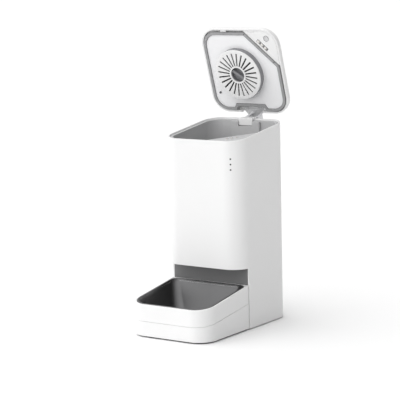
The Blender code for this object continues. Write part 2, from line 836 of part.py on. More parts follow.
def front_catches():
    """Two snap tabs in the gap between the lid's front skirt and its seal."""
    wide, deep, high = CATCH_SIZE
    y0 = -LID_L + LID_SKIRT + GAP
    for x, name in ((-CATCH_X, "catch_left"), (CATCH_X, "catch_right")):
        block(name, x - wide / 2, x + wide / 2, y0, y0 + deep, 0, high)


def hinge_arm():
    """The lid's half of the hinge: a plate in the slot, and two knuckles either side of the base's."""
    axis = lid_point(AXIS_Y, AXIS_Z)
    top = LID_H
    low = LID_H - ARM_T
    front = -NOTCH_DEPTH + GAP
    outline = [
        (ARM_HALF, front), (ARM_HALF, -2 * MM), (HINGE_HALF, axis.y - KNUCKLE_R),
        (HINGE_HALF, axis.y + KNUCKLE_R), (-HINGE_HALF, axis.y + KNUCKLE_R),
        (-HINGE_HALF, axis.y - KNUCKLE_R), (-ARM_HALF, -2 * MM), (-ARM_HALF, front),
    ]
    arm = prism("hinge_arm", outline, low, top)
    parts = []
    for side in (-1, 1):
        x0, x1 = sorted((side * (KNUCKLE_HALF + GAP), side * HINGE_HALF))
        leg = block(f"arm_leg_{side}", x0, x1, axis.y - KNUCKLE_R, axis.y + KNUCKLE_R, axis.z, low + 1 * MM)
        ring = circle(axis.y, axis.z, KNUCKLE_R, SMALL_STEPS)
        knuckle = solid(f"arm_knuckle_{side}", [[Vector((x, a, b)) for a, b in ring] for x in (x0, x1)])
        parts += [leg, knuckle]
    join(arm, *parts)
    return cut(arm, bar_x("arm_pin_bore", WIDTH, axis.y, axis.z, PIN_R + PIN_CLEARANCE))


def arm_plate():
    """The clamp plate that holds the arm under the cover, and its two screws."""
    low = LID_H - ARM_T - GAP - 1.6 * MM
    outline = box_outline(-18 * MM, 18 * MM, -NOTCH_DEPTH + 1 * MM, -4.6 * MM, (2 * MM,) * 4, 4)
    plate = prism("arm_plate", outline, low, low + 1.6 * MM)
    holes = []
    for i, side in enumerate((-1, 1)):
        x, y = side * 12 * MM, -8.5 * MM
        holes.append(
            turned(f"plate_hole_{i}", x, y, [(2.0 * MM, low - WALL), (2.0 * MM, low + 3 * MM)], SMALL_STEPS)
        )
        turned(
            f"arm_screw_{i + 1}", x, y, [(1.7 * MM, low - 0.6 * MM), (1.7 * MM, low + 1.5 * MM)], SMALL_STEPS
        )
    return cut(plate, *holes)


def desiccant_cup():
    cx, cy = BOX_X, -BOX_FROM_HINGE
    roof = -GAP - BOX_WALL
    bottom = -BOX_H + GRILLE_T + GAP
    cup = turned("desiccant_cup", cx, cy, [(BOX_R, bottom), (BOX_R, -GAP)])
    hollow = turned("cup_hollow", cx, cy, [(BOX_R - BOX_WALL, bottom - WALL), (BOX_R - BOX_WALL, roof)])
    post = turned(
        "cup_post", cx, cy,
        [(WELL_GRIP_R + 2 * MM, bottom), (WELL_GRIP_R + 2 * MM, roof + BOX_WALL / 2)],
    )
    cut(cup, hollow)
    join(cup, post)
    return cut(
        cup, turned("cup_grip_hole", cx, cy, [(WELL_GRIP_R, bottom - WALL), (WELL_GRIP_R, roof - 1 * MM)])
    )


def desiccant_grille():
    cx, cy = BOX_X, -BOX_FROM_HINGE
    low, high = -BOX_H, -BOX_H + GRILLE_T
    disc = turned(
        "desiccant_grille", cx, cy, [(BOX_R - 0.8 * MM, low), (BOX_R, low + 0.8 * MM), (BOX_R, high)]
    )
    tools = [turned("grille_grip_hole", cx, cy, [(WELL_GRIP_R, low - WALL), (WELL_GRIP_R, high + WALL)])]
    for i in range(SLOTS):
        tool = block(
            f"slot_{i}", SLOT_IN_R, SLOT_OUT_R, -SLOT_W / 2, SLOT_W / 2, low - WALL, high + WALL
        )
        turn = Matrix.Rotation(math.tau * (i + 0.5) / SLOTS, 4, "Z")
        tool.data.transform(Matrix.Translation((cx, cy, 0)) @ turn)
        tools.append(tool)
    return cut(disc, *tools)


def grip_bar():
    """The dished finger grip across the box's middle."""
    cx, cy = BOX_X, -BOX_FROM_HINGE
    radius = WELL_GRIP_R - GAP
    low, high = -BOX_H + 1.5 * MM, -GAP - BOX_WALL - 1 * MM - GAP
    dish = turned("grip_bar", cx, cy, [(radius, high - 1.5 * MM), (radius, high)])
    bar = block("grip_web", -radius * 0.96, radius * 0.96, -2.5 * MM, 2.5 * MM, low, high - 1 * MM)
    bar.data.transform(Matrix.Translation((cx, cy, 0)) @ Matrix.Rotation(GRIP_TURN, 4, "Z"))
    return join(dish, bar)


def lid_pieces():
    lid_cover()
    lid_liner()
    lid_seal()
    corner_panel()
    corner_pieces()
    button_switch()
    front_catches()
    hinge_arm()
    arm_plate()
    desiccant_cup()
    desiccant_grille()
    grip_bar()
    feed_button()


# Bowl stand and bowl


def stand_height(front_z, back_z):
    length = STAND_AHEAD + STAND_BACK_Y

    def height(y):
        return front_z + (back_z - front_z) * (y + STAND_AHEAD) / length

    return height


def stand_outline(inset):
    radius = STAND_R - inset
    back = max(STAND_BACK_R - inset, 0.5 * MM)
    return box_outline(
        -WIDTH / 2 + inset, WIDTH / 2 - inset, -STAND_AHEAD + inset, STAND_BACK_Y - inset,
        (back, back, radius, radius),
    )


def stand_base():
    seam = stand_height(SEAM_FRONT_Z - SEAM / 2, SEAM_BACK_Z - SEAM / 2)
    rings = [
        at(stand_outline(0.8 * MM), STAND_LIFT),
        at(stand_outline(0), STAND_LIFT + 0.8 * MM),
        at(stand_outline(0), seam),
        at(stand_outline(STAND_WALL), seam),
        at(stand_outline(STAND_WALL), STAND_LIFT + STAND_WALL),
    ]
    return solid("stand_base", rings)


def stand_pad():
    return prism("stand_pad", stand_outline(PAD_INSET), 0, STAND_LIFT - GAP)


def stand_tray():
    top = stand_height(TOP_FRONT_Z, TOP_BACK_Z)
    low = stand_height(SEAM_FRONT_Z + SEAM / 2, SEAM_BACK_Z + SEAM / 2)
    shelf = BOWL_INSET + BOWL_LIP

    def shelf_z(y):
        return top(y) - BOWL_SHELF_DROP

    rings = [
        at(stand_outline(0), low),
        at(stand_outline(0), lambda y: top(y) - 0.8 * MM),
        at(stand_outline(0.8 * MM), top),
        at(stand_outline(BOWL_INSET - GAP), top),
        at(stand_outline(BOWL_INSET - GAP), shelf_z),
        at(stand_outline(shelf), shelf_z),
        at(stand_outline(shelf), lambda y: shelf_z(y) - 2 * MM),
        at(stand_outline(STAND_WALL), lambda y: shelf_z(y) - 5 * MM),
        at(stand_outline(STAND_WALL), low),
    ]
    return solid("stand_tray", rings, ring_shaped=True)


def bowl_outline(inset):
    """The bowl's outline, rounder than the stand's at the back."""
    radius = STAND_R - BOWL_INSET - inset * 0.15
    back = 18 * MM + inset * 0.25
    edge = BOWL_INSET + inset
    return box_outline(
        -WIDTH / 2 + edge, WIDTH / 2 - edge, -STAND_AHEAD + edge, STAND_BACK_Y - edge,
        (back, back, radius, radius),
    )


def bowl():
    top = stand_height(TOP_FRONT_Z, TOP_BACK_Z)
    lip_under = BOWL_SHELF_DROP - GAP
    steps = 7

    def lip(y):
        return top(y) + BOWL_PROUD

    outer, inner = [], []
    for i in range(steps + 1):
        share = i / steps
        inset = BOWL_LIP + 1 * MM + (BOWL_FLOOR_INSET - BOWL_LIP) * share
        sink = math.sin(share * math.pi / 2) ** 1.2

        def wall(y, sink=sink):
            start = top(y) - lip_under
            return start + (BOWL_FLOOR_Z - start) * sink

        outer.append(at(bowl_outline(inset), wall))
        inner.append(at(bowl_outline(inset + BOWL_T), lambda y, wall=wall: wall(y) + BOWL_T))
    rings = outer[::-1] + [
        at(bowl_outline(0), lambda y: top(y) - lip_under),
        at(bowl_outline(0), lip),
        at(bowl_outline(BOWL_LIP), lip),
    ]
    return solid("bowl", rings + inner)


def clear_scene():
    for piece in list(bpy.data.objects):
        bpy.data.objects.remove(piece)


def model_pieces():
    return {o for o in bpy.data.objects if o.type == "MESH"}


def give(names, material):
    for piece in bpy.data.objects:
        if piece.type == "MESH" and piece.name.rstrip("0123456789_") in names:
            piece.data.materials.append(material)


def paint():
    """Gives every piece the finish that it is moulded or plated in."""
    give(
        {"outer_shell", "stand_base", "stand_tray", "lid_cover", "feed_button", "hinge_base",
         "desiccant_grille", "corner_panel", "catch_left", "catch_right"},
        finish("white_plastic", (0.86, 0.86, 0.86), 0.35),
    )
    give({"lid_liner"}, finish("pale_plastic", (0.74, 0.74, 0.75), 0.4))
    give({"hopper", "channel_cover", "corner_deck"}, finish("grey_plastic", (0.36, 0.36, 0.37), 0.45))
    give({"lid_seal", "grip_bar", "desiccant_cup"}, finish("grey_rubber", (0.25, 0.25, 0.26), 0.6))
    give(
        {"recess_panel", "base_plate", "stand_pad", "power_jack", "rubber_foot", "button_switch", "rotor"},
        finish("dark_plastic", (0.12, 0.12, 0.12), 0.5),
    )
    give({"metering_well", "outlet_chute", "stirrer"}, finish("inner_plastic", (0.55, 0.55, 0.56), 0.45))
    give({"main_board", "indicator_board"}, finish("circuit_board", (0.05, 0.16, 0.08), 0.4))
    give({"indicator_light"}, finish("light_lens", (0.2, 0.21, 0.22), 0.2))
    give({"bowl"}, finish("dark_steel", (0.22, 0.22, 0.23), 0.3, 1.0))
    give(
        {"hinge_pin", "hinge_arm", "arm_plate", "arm_screw", "corner_screw", "base_screw",
         "rotor_shaft", "gear_motor", "lid_contact", "deck_contact"},
        finish("bright_steel", (0.6, 0.6, 0.6), 0.3, 1.0),
    )


def stand_on_axis(pieces, frame, point):
    """Parents pieces, drawn in frame, to an empty at point, and returns the empty."""
    pivot = bpy.data.objects.new("pivot", None)
    bpy.context.scene.collection.objects.link(pivot)
    pivot.location = point
    for piece in pieces:
        piece.parent = pivot
        piece.matrix_basis = Matrix.Translation(-Vector(point)) @ frame
    return pivot


def main():
    clear_scene()
    outer_shell()
    recess_panel()
    base_plate()
    feet()
    base_screws()
    hopper()
    corner_deck()
    deck_contacts()
    channel_cover()
    metering_well()
    gear_motor()
    outlet_chute()
    electronics()
    hinge_base()
    hinge_pin()
    fixed = model_pieces()

    rotor()
    rotor_shaft()
    stirrer()
    turning = model_pieces() - fixed
    stand_base()
    stand_pad()
    stand_tray()
    sliding = model_pieces() - fixed - turning
    bowl()
    lifting = model_pieces() - fixed - turning - sliding
    lid_pieces()
    swinging = model_pieces() - fixed - turning - sliding - lifting

    paint()
    upright = Matrix.Identity(4)
    pivots = [
        stand_on_axis(fixed, upright, (0, 0, 0)),
        stand_on_axis(turning, upright, (0, WELL_Y, WELL_TOP)),
        stand_on_axis(sliding | lifting, upright, (0, -STAND_AHEAD, 0)),
    ]
    lid_pivot = stand_on_axis(swinging, lid_frame(), (0, AXIS_Y, AXIS_Z))
    lid_pivot.rotation_euler.x = -OPEN_ANGLE
    centre_y = (BACK_MOST_Y_OPEN - STAND_AHEAD) / 2
    for pivot in [*pivots, lid_pivot]:
        pivot.location.y -= centre_y


def open_lid_back():
    """How far back the open lid reaches, at its cover's hinge edge."""
    turn = Matrix.Rotation(-OPEN_ANGLE, 3, "X")
    axis = Vector((0, AXIS_Y, AXIS_Z))
    edges = [(-2 * MM, LID_H), (-0.6 * MM, LID_H - 0.6 * MM), (0, LID_H - 2 * MM)]
    arm = lid_point(AXIS_Y, AXIS_Z)
    edges.append((arm.y - KNUCKLE_R, LID_H))
    edges.append((arm.y + KNUCKLE_R, LID_H))
    points = (lid_frame() @ Vector((0, y, z)) for y, z in edges)
    return max((axis + turn @ (p - axis)).y for p in points)


BACK_MOST_Y_OPEN = open_lid_back()

main()
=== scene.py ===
"""Looks for an automatic pet feeder: moulded white tower and stand, grey hopper, open lid with its
desiccant box, and a satin steel bowl, on a plain pale floor."""

import json
import math

import bmesh
import bpy
from bpy.props import FloatProperty, FloatVectorProperty, IntProperty, PointerProperty
from mathutils import Matrix, Vector

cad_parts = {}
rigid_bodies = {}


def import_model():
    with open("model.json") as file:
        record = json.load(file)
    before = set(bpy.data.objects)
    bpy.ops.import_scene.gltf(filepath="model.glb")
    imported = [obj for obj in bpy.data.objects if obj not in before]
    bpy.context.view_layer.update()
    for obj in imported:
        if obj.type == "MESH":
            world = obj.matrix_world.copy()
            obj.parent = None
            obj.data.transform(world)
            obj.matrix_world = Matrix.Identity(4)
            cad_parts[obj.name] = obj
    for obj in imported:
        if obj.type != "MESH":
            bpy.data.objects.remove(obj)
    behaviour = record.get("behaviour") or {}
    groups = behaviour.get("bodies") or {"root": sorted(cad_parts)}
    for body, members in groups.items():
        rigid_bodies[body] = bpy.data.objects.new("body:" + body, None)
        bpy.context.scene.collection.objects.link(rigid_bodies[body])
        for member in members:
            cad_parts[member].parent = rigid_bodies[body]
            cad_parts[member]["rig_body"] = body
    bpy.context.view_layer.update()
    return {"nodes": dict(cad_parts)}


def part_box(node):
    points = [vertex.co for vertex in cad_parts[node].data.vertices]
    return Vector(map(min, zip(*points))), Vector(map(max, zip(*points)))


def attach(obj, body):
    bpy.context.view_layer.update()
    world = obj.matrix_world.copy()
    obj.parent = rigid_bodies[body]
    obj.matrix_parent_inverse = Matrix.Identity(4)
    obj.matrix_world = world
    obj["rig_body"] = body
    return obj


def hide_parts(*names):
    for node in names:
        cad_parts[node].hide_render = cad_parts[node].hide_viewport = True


bl_info = {
    "name": "Pet feeder looks",
    "version": (1, 0, 0),
    "blender": (4, 5, 0),
    "location": "View3D > Sidebar > Pet feeder",
    "description": "Builds the visible pieces, finishes and studio of an automatic pet feeder",
    "category": "Object",
}

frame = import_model()

MM = 0.001
NODES = frame["nodes"]
SMOOTH_ANGLE = math.radians(30)
FLAT_ANGLE = math.radians(0.5)
MADE = {}


def colour_property(label, words, default):
    return FloatVectorProperty(
        name=label, description=words, subtype="COLOR", size=3, min=0, max=1, default=default
    )


def length_property(label, words, default):
    return FloatProperty(name=label, description=words, default=default, unit="LENGTH", precision=4)


class FeederFinishes(bpy.types.PropertyGroup):
    """Colours of the feeder's mouldings and metals."""

    shell: colour_property("Shell", "White moulding of the tower, lid and stand", (0.78, 0.78, 0.78))
    plate: colour_property("Lid plate", "Pale plate inside the lid", (0.83, 0.83, 0.84))
    hopper: colour_property("Hopper", "Grey moulding of the hopper", (0.48, 0.48, 0.485))
    seal: colour_property("Seal", "Silicone seal of the lid", (0.30, 0.30, 0.305))
    # The cup's grey is set darker partly to paint the shade on the cup's rim; the grip bar and the screw ring
    # share it.
    box: colour_property("Desiccant cup", "Grey cup of the desiccant box", (0.22, 0.22, 0.23))
    # dark_plastic from this colour also paints shade: the tower's dark base stands partly for the shadow at
    # its foot, and the dark slots for the gaps round the lid's contact fingers.
    recess: colour_property("Recess", "Dark panel behind the bowl", (0.15, 0.15, 0.152))
    bowl: colour_property("Bowl", "Dark stainless steel of the bowl", (0.135, 0.135, 0.137))
    metal: colour_property("Plated steel", "Hinge leaf, pin, screws and motor", (0.66, 0.66, 0.67))
    # This rubber also colours the dark pad under the stand, partly painted shadow along the stand's lower
    # edge.
    rubber: colour_property("Rubber", "Feet and the pad under the stand", (0.045, 0.045, 0.047))
    inner: colour_property("Works", "Moulding of the metering well and the chute", (0.5, 0.5, 0.51))
    board: colour_property("Board", "Lacquer of the circuit boards", (0.02, 0.12, 0.06))


class FeederEdges(bpy.types.PropertyGroup):
    """How far the edges of the mouldings are rounded."""

    shell: length_property("Shell edge", "Round of the tower's and the stand's edges", 0.4 * MM)
    lid: length_property("Lid edge", "Round of the lid's edges", 0.5 * MM)
    fine: length_property("Fine edge", "Round of small mouldings", 0.3 * MM)
    sheet: length_property("Sheet edge", "Round of pressed metal", 0.15 * MM)
    corner: length_property("Tower corner", "Radius of the tower's upright corners", 34 * MM)
    bezel: length_property("Bezel", "Outer radius of the ring round a status light", 1.5 * MM)
    segments: IntProperty(name="Edge segments", description="Steps across each round", default=3, min=1)


class FeederLid(bpy.types.PropertyGroup):
    """Details of the lid's inner side."""

    finger_width: length_property("Contact width", "Width of one contact finger", 4.6 * MM)
    finger_length: length_property("Contact length", "Length of one contact finger", 8.0 * MM)
    finger_lift: length_property("Contact lift", "How far a contact finger stands out", 0.65 * MM)
    slot_side: length_property("Slot side", "Slot's reach past the side of its finger", 0.9 * MM)
    slot_end: length_property("Slot end", "Slot's reach past the end of its finger", 0.7 * MM)
    slot_corner: length_property("Slot corner", "Corner radius of a contact slot", 0.8 * MM)
    boss_wall: length_property("Boss wall", "Thickness of the ring round the screw", 0.9 * MM)
    mark_radius: length_property("Lock mark radius", "Radius of the lock mark", 2.0 * MM)
    plug_radius: length_property("Plug radius", "Radius of the plugs at the seal's diagonal", 1.3 * MM)
    plug_proud: length_property("Plug height", "How far the plugs and the mark stand out", 2.4 * MM)
    mark_across: length_property("Lock mark across", "Lock mark's distance left of the box", 55.5 * MM)
    mark_along: length_property("Lock mark along", "Lock mark's distance behind the box", 42 * MM)
    plug_far: length_property("Plug far", "Longer distance of a plug from the corner screw", 46 * MM)
    plug_near: length_property("Plug near", "Shorter distance of a plug from the corner screw", 9 * MM)
    boss_radius: length_property("Boss radius", "Outer radius of the ring round the screw", 5.6 * MM)


class FeederBowl(bpy.types.PropertyGroup):
    """Shape of the pressed steel bowl."""

    front_height: length_property("Front height", "Height of the stand's rim at its front", 60.6 * MM)
    back_height: length_property("Back height", "Height of the stand's rim at its back", 83.5 * MM)
    proud: length_property("Rim height", "How far the bowl stands above the stand", 0.6 * MM)
    sheet: length_property("Sheet", "Thickness of the steel", 1.0 * MM)
    lip: length_property("Lip", "Width of the flat lip", 3.0 * MM)
    shelf: length_property("Shelf", "Depth of the lip's underside below the stand's rim", 2.1 * MM)
    floor_inset: length_property("Floor inset", "Distance from the rim to the flat floor", 38 * MM)
    front_radius: length_property("Front corner", "Corner radius at the front", 30.6 * MM)
    back_radius: length_property("Back corner", "Corner radius at the back", 12 * MM)


class FeederStudio(bpy.types.PropertyGroup):
    """Floor, light and camera."""

    floor: colour_property("Floor", "Colour of the floor", (0.97, 0.97, 0.97))
    shade: FloatProperty(name="Shade", description="Brightness of the room's unlit side", default=0.24)
    light: FloatProperty(name="Light", description="Brightness of the room's lit side", default=1.72)
    azimuth: FloatProperty(
        name="Azimuth", description="Camera's turn to the right", subtype="ANGLE", default=math.radians(34.77)
    )
    elevation: FloatProperty(
        name="Elevation", description="Camera's climb", subtype="ANGLE", default=math.radians(10.19)
    )
    tilt: FloatProperty(
        name="Tilt", description="Camera's look above the middle", subtype="ANGLE", default=math.radians(1.46)
    )
    roll: FloatProperty(
        name="Roll", description="Camera's roll", subtype="ANGLE", default=math.radians(-1.29)
    )
    distance: length_property("Distance", "Camera's distance from the tower's front", 3.071)
    lens: FloatProperty(name="Lens", description="Focal length in millimetres", default=150.7)


class FeederSettings(bpy.types.PropertyGroup):
    """Everything that the feeder's operators read."""

    finishes: PointerProperty(type=FeederFinishes, name="Finishes", description="Colours")
    edges: PointerProperty(type=FeederEdges, name="Edges", description="Rounded edges")
    lid: PointerProperty(type=FeederLid, name="Lid", description="Details of the lid")
    bowl: PointerProperty(type=FeederBowl, name="Bowl", description="Shape of the bowl")
    studio: PointerProperty(type=FeederStudio, name="Studio", description="Floor, light and camera")


# Materials


class Recipe:
    """A node material under construction, with its shader and its own object coordinates."""

    def __init__(self, name, colour, roughness, metallic=0.0):
        self.material = bpy.data.materials.new(name)
        self.material.use_nodes = True
        self.tree = self.material.node_tree
        self.shader = self.tree.nodes["Principled BSDF"]
        self.shader.inputs["Metallic"].default_value = metallic
        self.colour = colour
        self.roughness = roughness
        self.place = self.add("ShaderNodeTexCoord").outputs["Object"]

    def add(self, kind, **values):
        node = self.tree.nodes.new(kind)
        for key, value in values.items():
            setattr(node, key, value)
        return node

    def link(self, start, end):
        self.tree.links.new(start, end)

    def noise(self, scale, detail=3.0):
        """A noise value from 0 to 1."""
        noise = self.add("ShaderNodeTexNoise")
        noise.inputs["Scale"].default_value = scale
        noise.inputs["Detail"].default_value = detail
        self.link(self.place, noise.inputs["Vector"])
        return noise.outputs["Fac"]

    def spread(self, value, low, high):
        """The value's middle stretch spread from low to high."""
        span = self.add("ShaderNodeMapRange")
        for socket, number in zip(("From Min", "From Max", "To Min", "To Max"), (0.3, 0.7, low, high)):
            span.inputs[socket].default_value = number
        self.link(value, span.inputs["Value"])
        return span.outputs["Result"]

    def tint(self, value, amount):
        """Varies the base colour by amount with the value."""
        mix = self.add("ShaderNodeMix", data_type="RGBA")
        dark = [c * (1 - amount) for c in self.colour]
        light = [min(c * (1 + amount), 1) for c in self.colour]
        mix.inputs["A"].default_value = (*dark, 1)
        mix.inputs["B"].default_value = (*light, 1)
        self.link(self.spread(value, 0, 1), mix.inputs["Factor"])
        self.link(mix.outputs["Result"], self.shader.inputs["Base Color"])

    def sheen_map(self, value, amount):
        """Varies the roughness by amount with the value."""
        low, high = self.roughness - amount, self.roughness + amount
        self.link(self.spread(value, low, high), self.shader.inputs["Roughness"])

    def relief(self, *layers):
        """Bumps, each a value with its height in metres."""
        normal = None
        for value, height in layers:
            bump = self.add("ShaderNodeBump")
            bump.inputs["Strength"].default_value = 1.0
            bump.inputs["Distance"].default_value = height
            self.link(value, bump.inputs["Height"])
            if normal:
                self.link(normal, bump.inputs["Normal"])
            normal = bump.outputs["Normal"]
        self.link(normal, self.shader.inputs["Normal"])


def moulded(name, colour, roughness, grain=0.008 * MM, wave=0.03 * MM):
    """Injection-moulded plastic: a fine spark-eroded grain over slightly wavy walls."""
    recipe = Recipe(name, colour, roughness)
    recipe.tint(recipe.noise(9), 0.012)
    recipe.sheen_map(recipe.noise(700, 2), 0.05)
    recipe.relief((recipe.noise(2200, 1), grain), (recipe.noise(22, 1), wave))
    recipe.shader.inputs["IOR"].default_value = 1.5
    return recipe.material


def silicone(name, colour):
    """Moulded silicone or rubber: matt, with a dusty bloom and fine speckle."""
    recipe = Recipe(name, colour, 0.62)
    recipe.tint(recipe.noise(160, 4), 0.10)
    recipe.sheen_map(recipe.noise(900), 0.08)
    recipe.relief((recipe.noise(1500, 2), 0.02 * MM))
    recipe.shader.inputs["Sheen Weight"].default_value = 0.15
    return recipe.material


def pressed_steel(name, colour):
    """Deep-drawn stainless steel with a satin finish and faint draw marks."""
    recipe = Recipe(name, colour, 0.42, metallic=1.0)
    recipe.tint(recipe.noise(9, 2), 0.05)
    recipe.sheen_map(recipe.noise(300, 3), 0.03)
    recipe.relief((recipe.noise(1400, 2), 0.002 * MM))
    return recipe.material


def plated_steel(name, colour, roughness=0.32):
    """Zinc-plated or nickelled steel: slightly blotched and satin."""
    recipe = Recipe(name, colour, roughness, metallic=1.0)
    recipe.tint(recipe.noise(120, 4), 0.08)
    recipe.sheen_map(recipe.noise(400), 0.08)
    recipe.relief((recipe.noise(900, 2), 0.01 * MM))
    return recipe.material


def circuit_board(name, colour):
    """Lacquered board with copper tracks showing faintly through the lacquer."""
    recipe = Recipe(name, colour, 0.3)
    tracks = recipe.add("ShaderNodeTexBrick")
    tracks.inputs["Scale"].default_value = 220
    tracks.inputs["Mortar Size"].default_value = 0.06
    recipe.link(recipe.place, tracks.inputs["Vector"])
    tracks.inputs["Color1"].default_value = (*colour, 1)
    tracks.inputs["Color2"].default_value = (*[c * 0.85 for c in colour], 1)
    tracks.inputs["Mortar"].default_value = (*[min(c * 1.8 + 0.02, 1) for c in colour], 1)
    recipe.link(tracks.outputs["Color"], recipe.shader.inputs["Base Color"])
    recipe.relief((tracks.outputs["Fac"], 0.03 * MM), (recipe.noise(600), 0.01 * MM))
    recipe.sheen_map(recipe.noise(300), 0.05)
    return recipe.material


def floor_paper(name, colour):
    """Seamless studio paper, very slightly uneven."""
    recipe = Recipe(name, colour, 0.8)
    recipe.tint(recipe.noise(3), 0.006)
    recipe.relief((recipe.noise(40, 4), 0.05 * MM))
    recipe.shader.inputs["Specular IOR Level"].default_value = 0.2
    return recipe.material


def finishes():
    """The feeder's materials by name, made once."""
    if MADE:
        return MADE
    for material in list(bpy.data.materials):
        material.name = "frame_" + material.name
    colours = bpy.context.scene.pet_feeder.finishes
    made = (
        moulded("white_plastic", colours.shell, 0.38),
        moulded("pale_plastic", colours.plate, 0.45),
        moulded("grey_plastic", colours.hopper, 0.48, grain=0.012 * MM),
        moulded("box_plastic", colours.box, 0.42),
        moulded("grip_plastic", colours.box, 0.35),
        moulded("inner_plastic", colours.inner, 0.5),
        moulded("dark_plastic", colours.recess, 0.5, grain=0.012 * MM),
        silicone("grey_rubber", colours.seal),
        silicone("dark_rubber", colours.rubber),
        pressed_steel("dark_steel", colours.bowl),
        plated_steel("bright_steel", colours.metal),
        plated_steel("contact_metal", [0.74, 0.72, 0.69], 0.3),
        circuit_board("circuit_board", colours.board),
        moulded("light_lens", [0.012, 0.014, 0.018], 0.2, grain=0),
        # Near-black drying agent: painted shade for the dark seen through the grille's slots.
        silicone("drying_agent_slot_shade", [0.012, 0.012, 0.013]),
    )
    MADE.update((material.name, material) for material in made)
    return MADE


# Shapes


def arc(cx, cy, radius, start, end, steps):
    """Points of an arc between two angles in degrees."""
    angles = (math.radians(start + (end - start) * i / steps) for i in range(steps + 1))
    return [(cx + radius * math.cos(a), cy + radius * math.sin(a)) for a in angles]


def rounded(x0, x1, y0, y1, back, front, steps=20):
    """A rounded rectangle, counter-clockwise, with one radius at the back and one at the front."""
    return (
        arc(x1 - back, y1 - back, back, 0, 90, steps)
        + arc(x0 + back, y1 - back, back, 90, 180, steps)
        + arc(x0 + front, y0 + front, front, 180, 270, steps)
        + arc(x1 - front, y0 + front, front, 270, 360, steps)
    )


def ring_of(outline, height):
    return [Vector((x, y, height(y) if callable(height) else height)) for x, y in outline]


def skin(name, rings, closed=False, matrix=None):
    """A body through rings of equal length. closed joins the last ring to the first."""
    bm = bmesh.new()
    rows = [[bm.verts.new(p) for p in ring] for ring in rings]
    pairs = list(zip(rows, rows[1:])) + ([(rows[-1], rows[0])] if closed else [])
    for low, high in pairs:
        for i in range(len(low)):
            j = (i + 1) % len(low)
            bm.faces.new((low[i], low[j], high[j], high[i]))
    if not closed:
        bm.faces.new(rows[0][::-1])
        bm.faces.new(rows[-1])
    mesh = bpy.data.meshes.new(name)
    bm.to_mesh(mesh)
    bm.free()
    if matrix:
        mesh.transform(matrix)
    piece = bpy.data.objects.new(name, mesh)
    bpy.context.scene.collection.objects.link(piece)
    return piece


def round_edges(piece, width, angle=SMOOTH_ANGLE):
    """Rounds the piece's edges and shades it smooth."""
    bevel = piece.modifiers.new("round_edges", "BEVEL")
    bevel.width = width
    bevel.segments = bpy.context.scene.pet_feeder.edges.segments
    bevel.limit_method = "ANGLE"
    bevel.angle_limit = angle
    bevel.harden_normals = True
    piece.data.shade_smooth()
    weighted = piece.modifiers.new("flat_faces", "WEIGHTED_NORMAL")
    weighted.weight = 100
    weighted.keep_sharp = True
    return piece


def settle(piece, body, slot_name, material, *nodes):
    """Gives the piece its material and body, and hides the nodes that it stands for."""
    piece.data.materials.clear()
    piece.data.materials.append(finishes()[material])
    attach(piece, body)
    if nodes:
        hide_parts(*nodes)
    return piece


def refined(node, name, width, material, slot_name=None):
    """The node's solid as a clean mesh with rounded edges, standing for the node."""
    source = NODES[node]
    bm = bmesh.new()
    bm.from_mesh(source.data)
    bmesh.ops.remove_doubles(bm, verts=bm.verts, dist=0.002 * MM)
    bmesh.ops.dissolve_limit(bm, angle_limit=FLAT_ANGLE, verts=bm.verts, edges=bm.edges)
    mesh = bpy.data.meshes.new(name)
    bm.to_mesh(mesh)
    bm.free()
    for spare in [a.name for a in mesh.attributes if a.name in ("custom_normal", "sharp_edge", "sharp_face")]:
        mesh.attributes.remove(mesh.attributes[spare])
    piece = bpy.data.objects.new(name, mesh)
    bpy.context.scene.collection.objects.link(piece)
    round_edges(piece, width)
    return settle(piece, source["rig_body"], slot_name or material, material, node)


def recoat(material, *names):
    """Puts a material on nodes that stay as they are."""
    for name in names:
        mesh = NODES[name].data
        mesh.materials.clear()
        mesh.materials.append(finishes()[material])


def middle(node):
    low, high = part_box(node)
    return (low + high) / 2


class LidFrame:
    """The open lid's own axes: x across, y towards the hinge edge at 0, z from the underside out."""

    def __init__(self):
        cover = NODES["lid_cover"].data
        outward = [f for f in cover.polygons if f.normal.y > 0]
        up = max(outward, key=lambda f: f.area).normal.copy()
        across = Vector((1, 0, 0))
        back = up.cross(across)
        reach = [v.co.dot(back) for v in cover.vertices]
        rise = [v.co.dot(up) for v in cover.vertices]
        origin = back * max(reach) + up * min(rise)
        self.matrix = Matrix.Translation(origin) @ Matrix((across, back, up)).transposed().to_4x4()
        self.inverse = self.matrix.inverted()

    def local(self, point):
        return self.inverse @ point


# Operators


class FEEDER_OT_tower(bpy.types.Operator):
    """Build the tower's white shell and the dark recess behind the bowl"""

    bl_idname = "feeder.tower"
    bl_label = "Tower"

    def execute(self, context):
        edges = context.scene.pet_feeder.edges
        refined("outer_shell", "tower_shell", edges.shell, "white_plastic")
        refined("recess_panel", "recess_liner", edges.fine, "dark_plastic")
        # The base plate's dark colour is partly painted shadow, the dark line along the tower's foot.
        refined("base_plate", "tower_base_shadow", edges.fine, "dark_plastic")
        refined("power_jack", "power_socket", edges.fine, "dark_plastic")
        recoat("bright_steel", *[f"base_screw_{i}" for i in range(1, 5)])
        for i in range(1, 5):
            refined(f"rubber_foot_{i}", f"foot_{i}", edges.fine, "dark_rubber")
        return {"FINISHED"}


